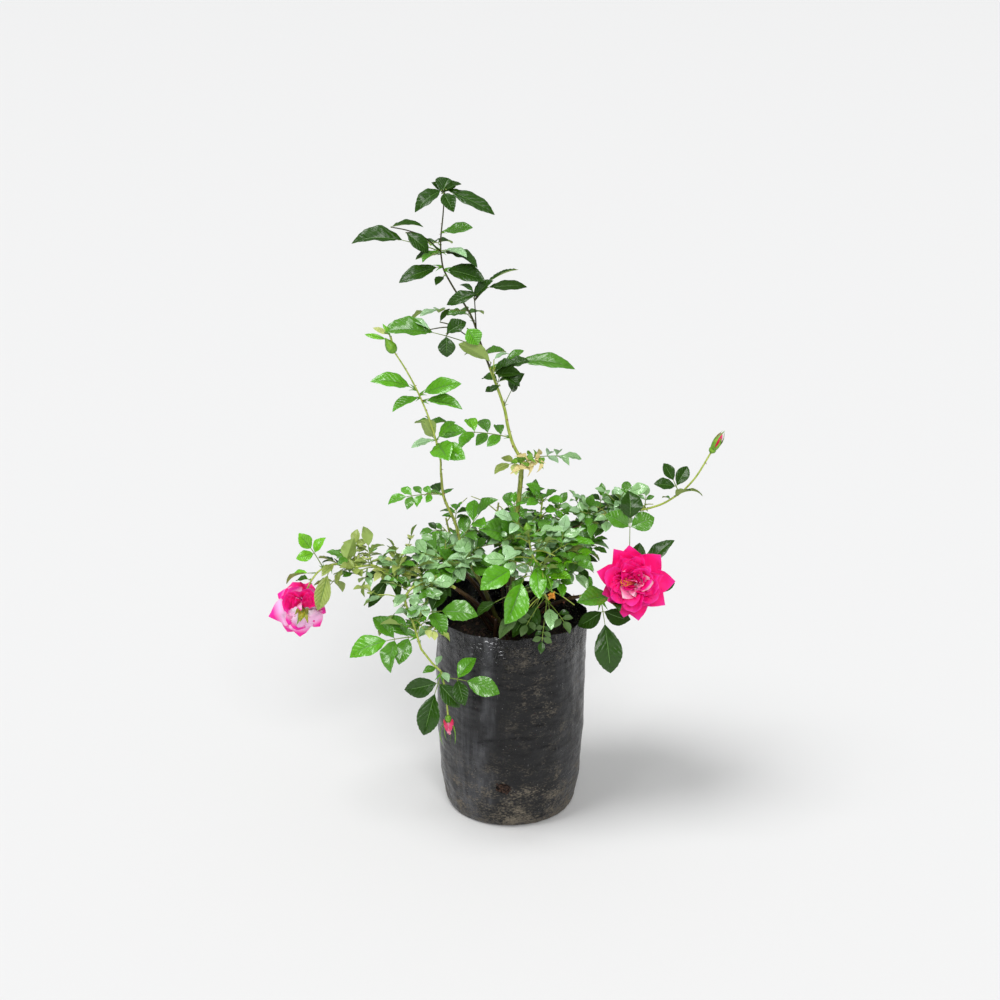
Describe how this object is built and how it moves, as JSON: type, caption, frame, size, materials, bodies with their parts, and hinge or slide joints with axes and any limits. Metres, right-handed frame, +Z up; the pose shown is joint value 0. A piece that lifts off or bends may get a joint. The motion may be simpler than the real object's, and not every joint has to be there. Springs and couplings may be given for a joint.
{
  "type": "potted rose bush",
  "caption": "Young rose bush with tall and arching canes, open pink flowers and buds, in a black film nursery bag full of compost.",
  "frame": {"origin": "centre of the bag's flat underside", "axes": "+Z up along the bag's axis and the plant's height, -Y towards the side the right-hand flower faces, +X to that viewer's right"},
  "size_m": [0.5119, 0.2815, 0.746],
  "materials": {
    "bag": "satin",
    "soil": "matte",
    "bark": "matte",
    "cane": "satin",
    "leaf": "satin",
    "bloom": "matte"
  },
  "bodies": {
    "root": {"nursery_bag": "bag", "soil": "soil", "root_crown": "bark", "tall_cane": "cane", "left_cane": "cane", "left_arch_cane": "cane", "drooping_cane": "cane", "right_arch_cane": "cane", "right_front_cane": "cane", "front_cane": "cane", "centre_cane": "cane", "small_cane": "cane", "right_centre_cane": "cane", "left_centre_cane": "cane", "back_left_cane": "cane", "back_cane": "cane", "back_right_cane": "cane", "tall_cane_foliage_low": "leaf", "tall_cane_foliage_mid": "leaf", "tall_cane_foliage_top": "leaf", "left_cane_foliage_low": "leaf", "left_cane_foliage_top": "leaf", "left_arch_foliage": "leaf", "left_tip_foliage": "leaf", "drooping_foliage_high": "leaf", "drooping_foliage_low": "leaf", "right_arch_foliage": "leaf", "right_tip_foliage": "leaf", "right_front_foliage": "leaf", "front_foliage": "leaf", "centre_foliage": "leaf", "side_shoot_foliage": "leaf", "right_centre_foliage": "leaf", "left_centre_foliage": "leaf", "back_left_foliage": "leaf", "back_foliage": "leaf", "back_right_foliage": "leaf", "left_bloom": "bloom", "right_bloom": "bloom", "low_bud": "bloom", "right_bud": "bloom"}
  },
  "joints": []
}
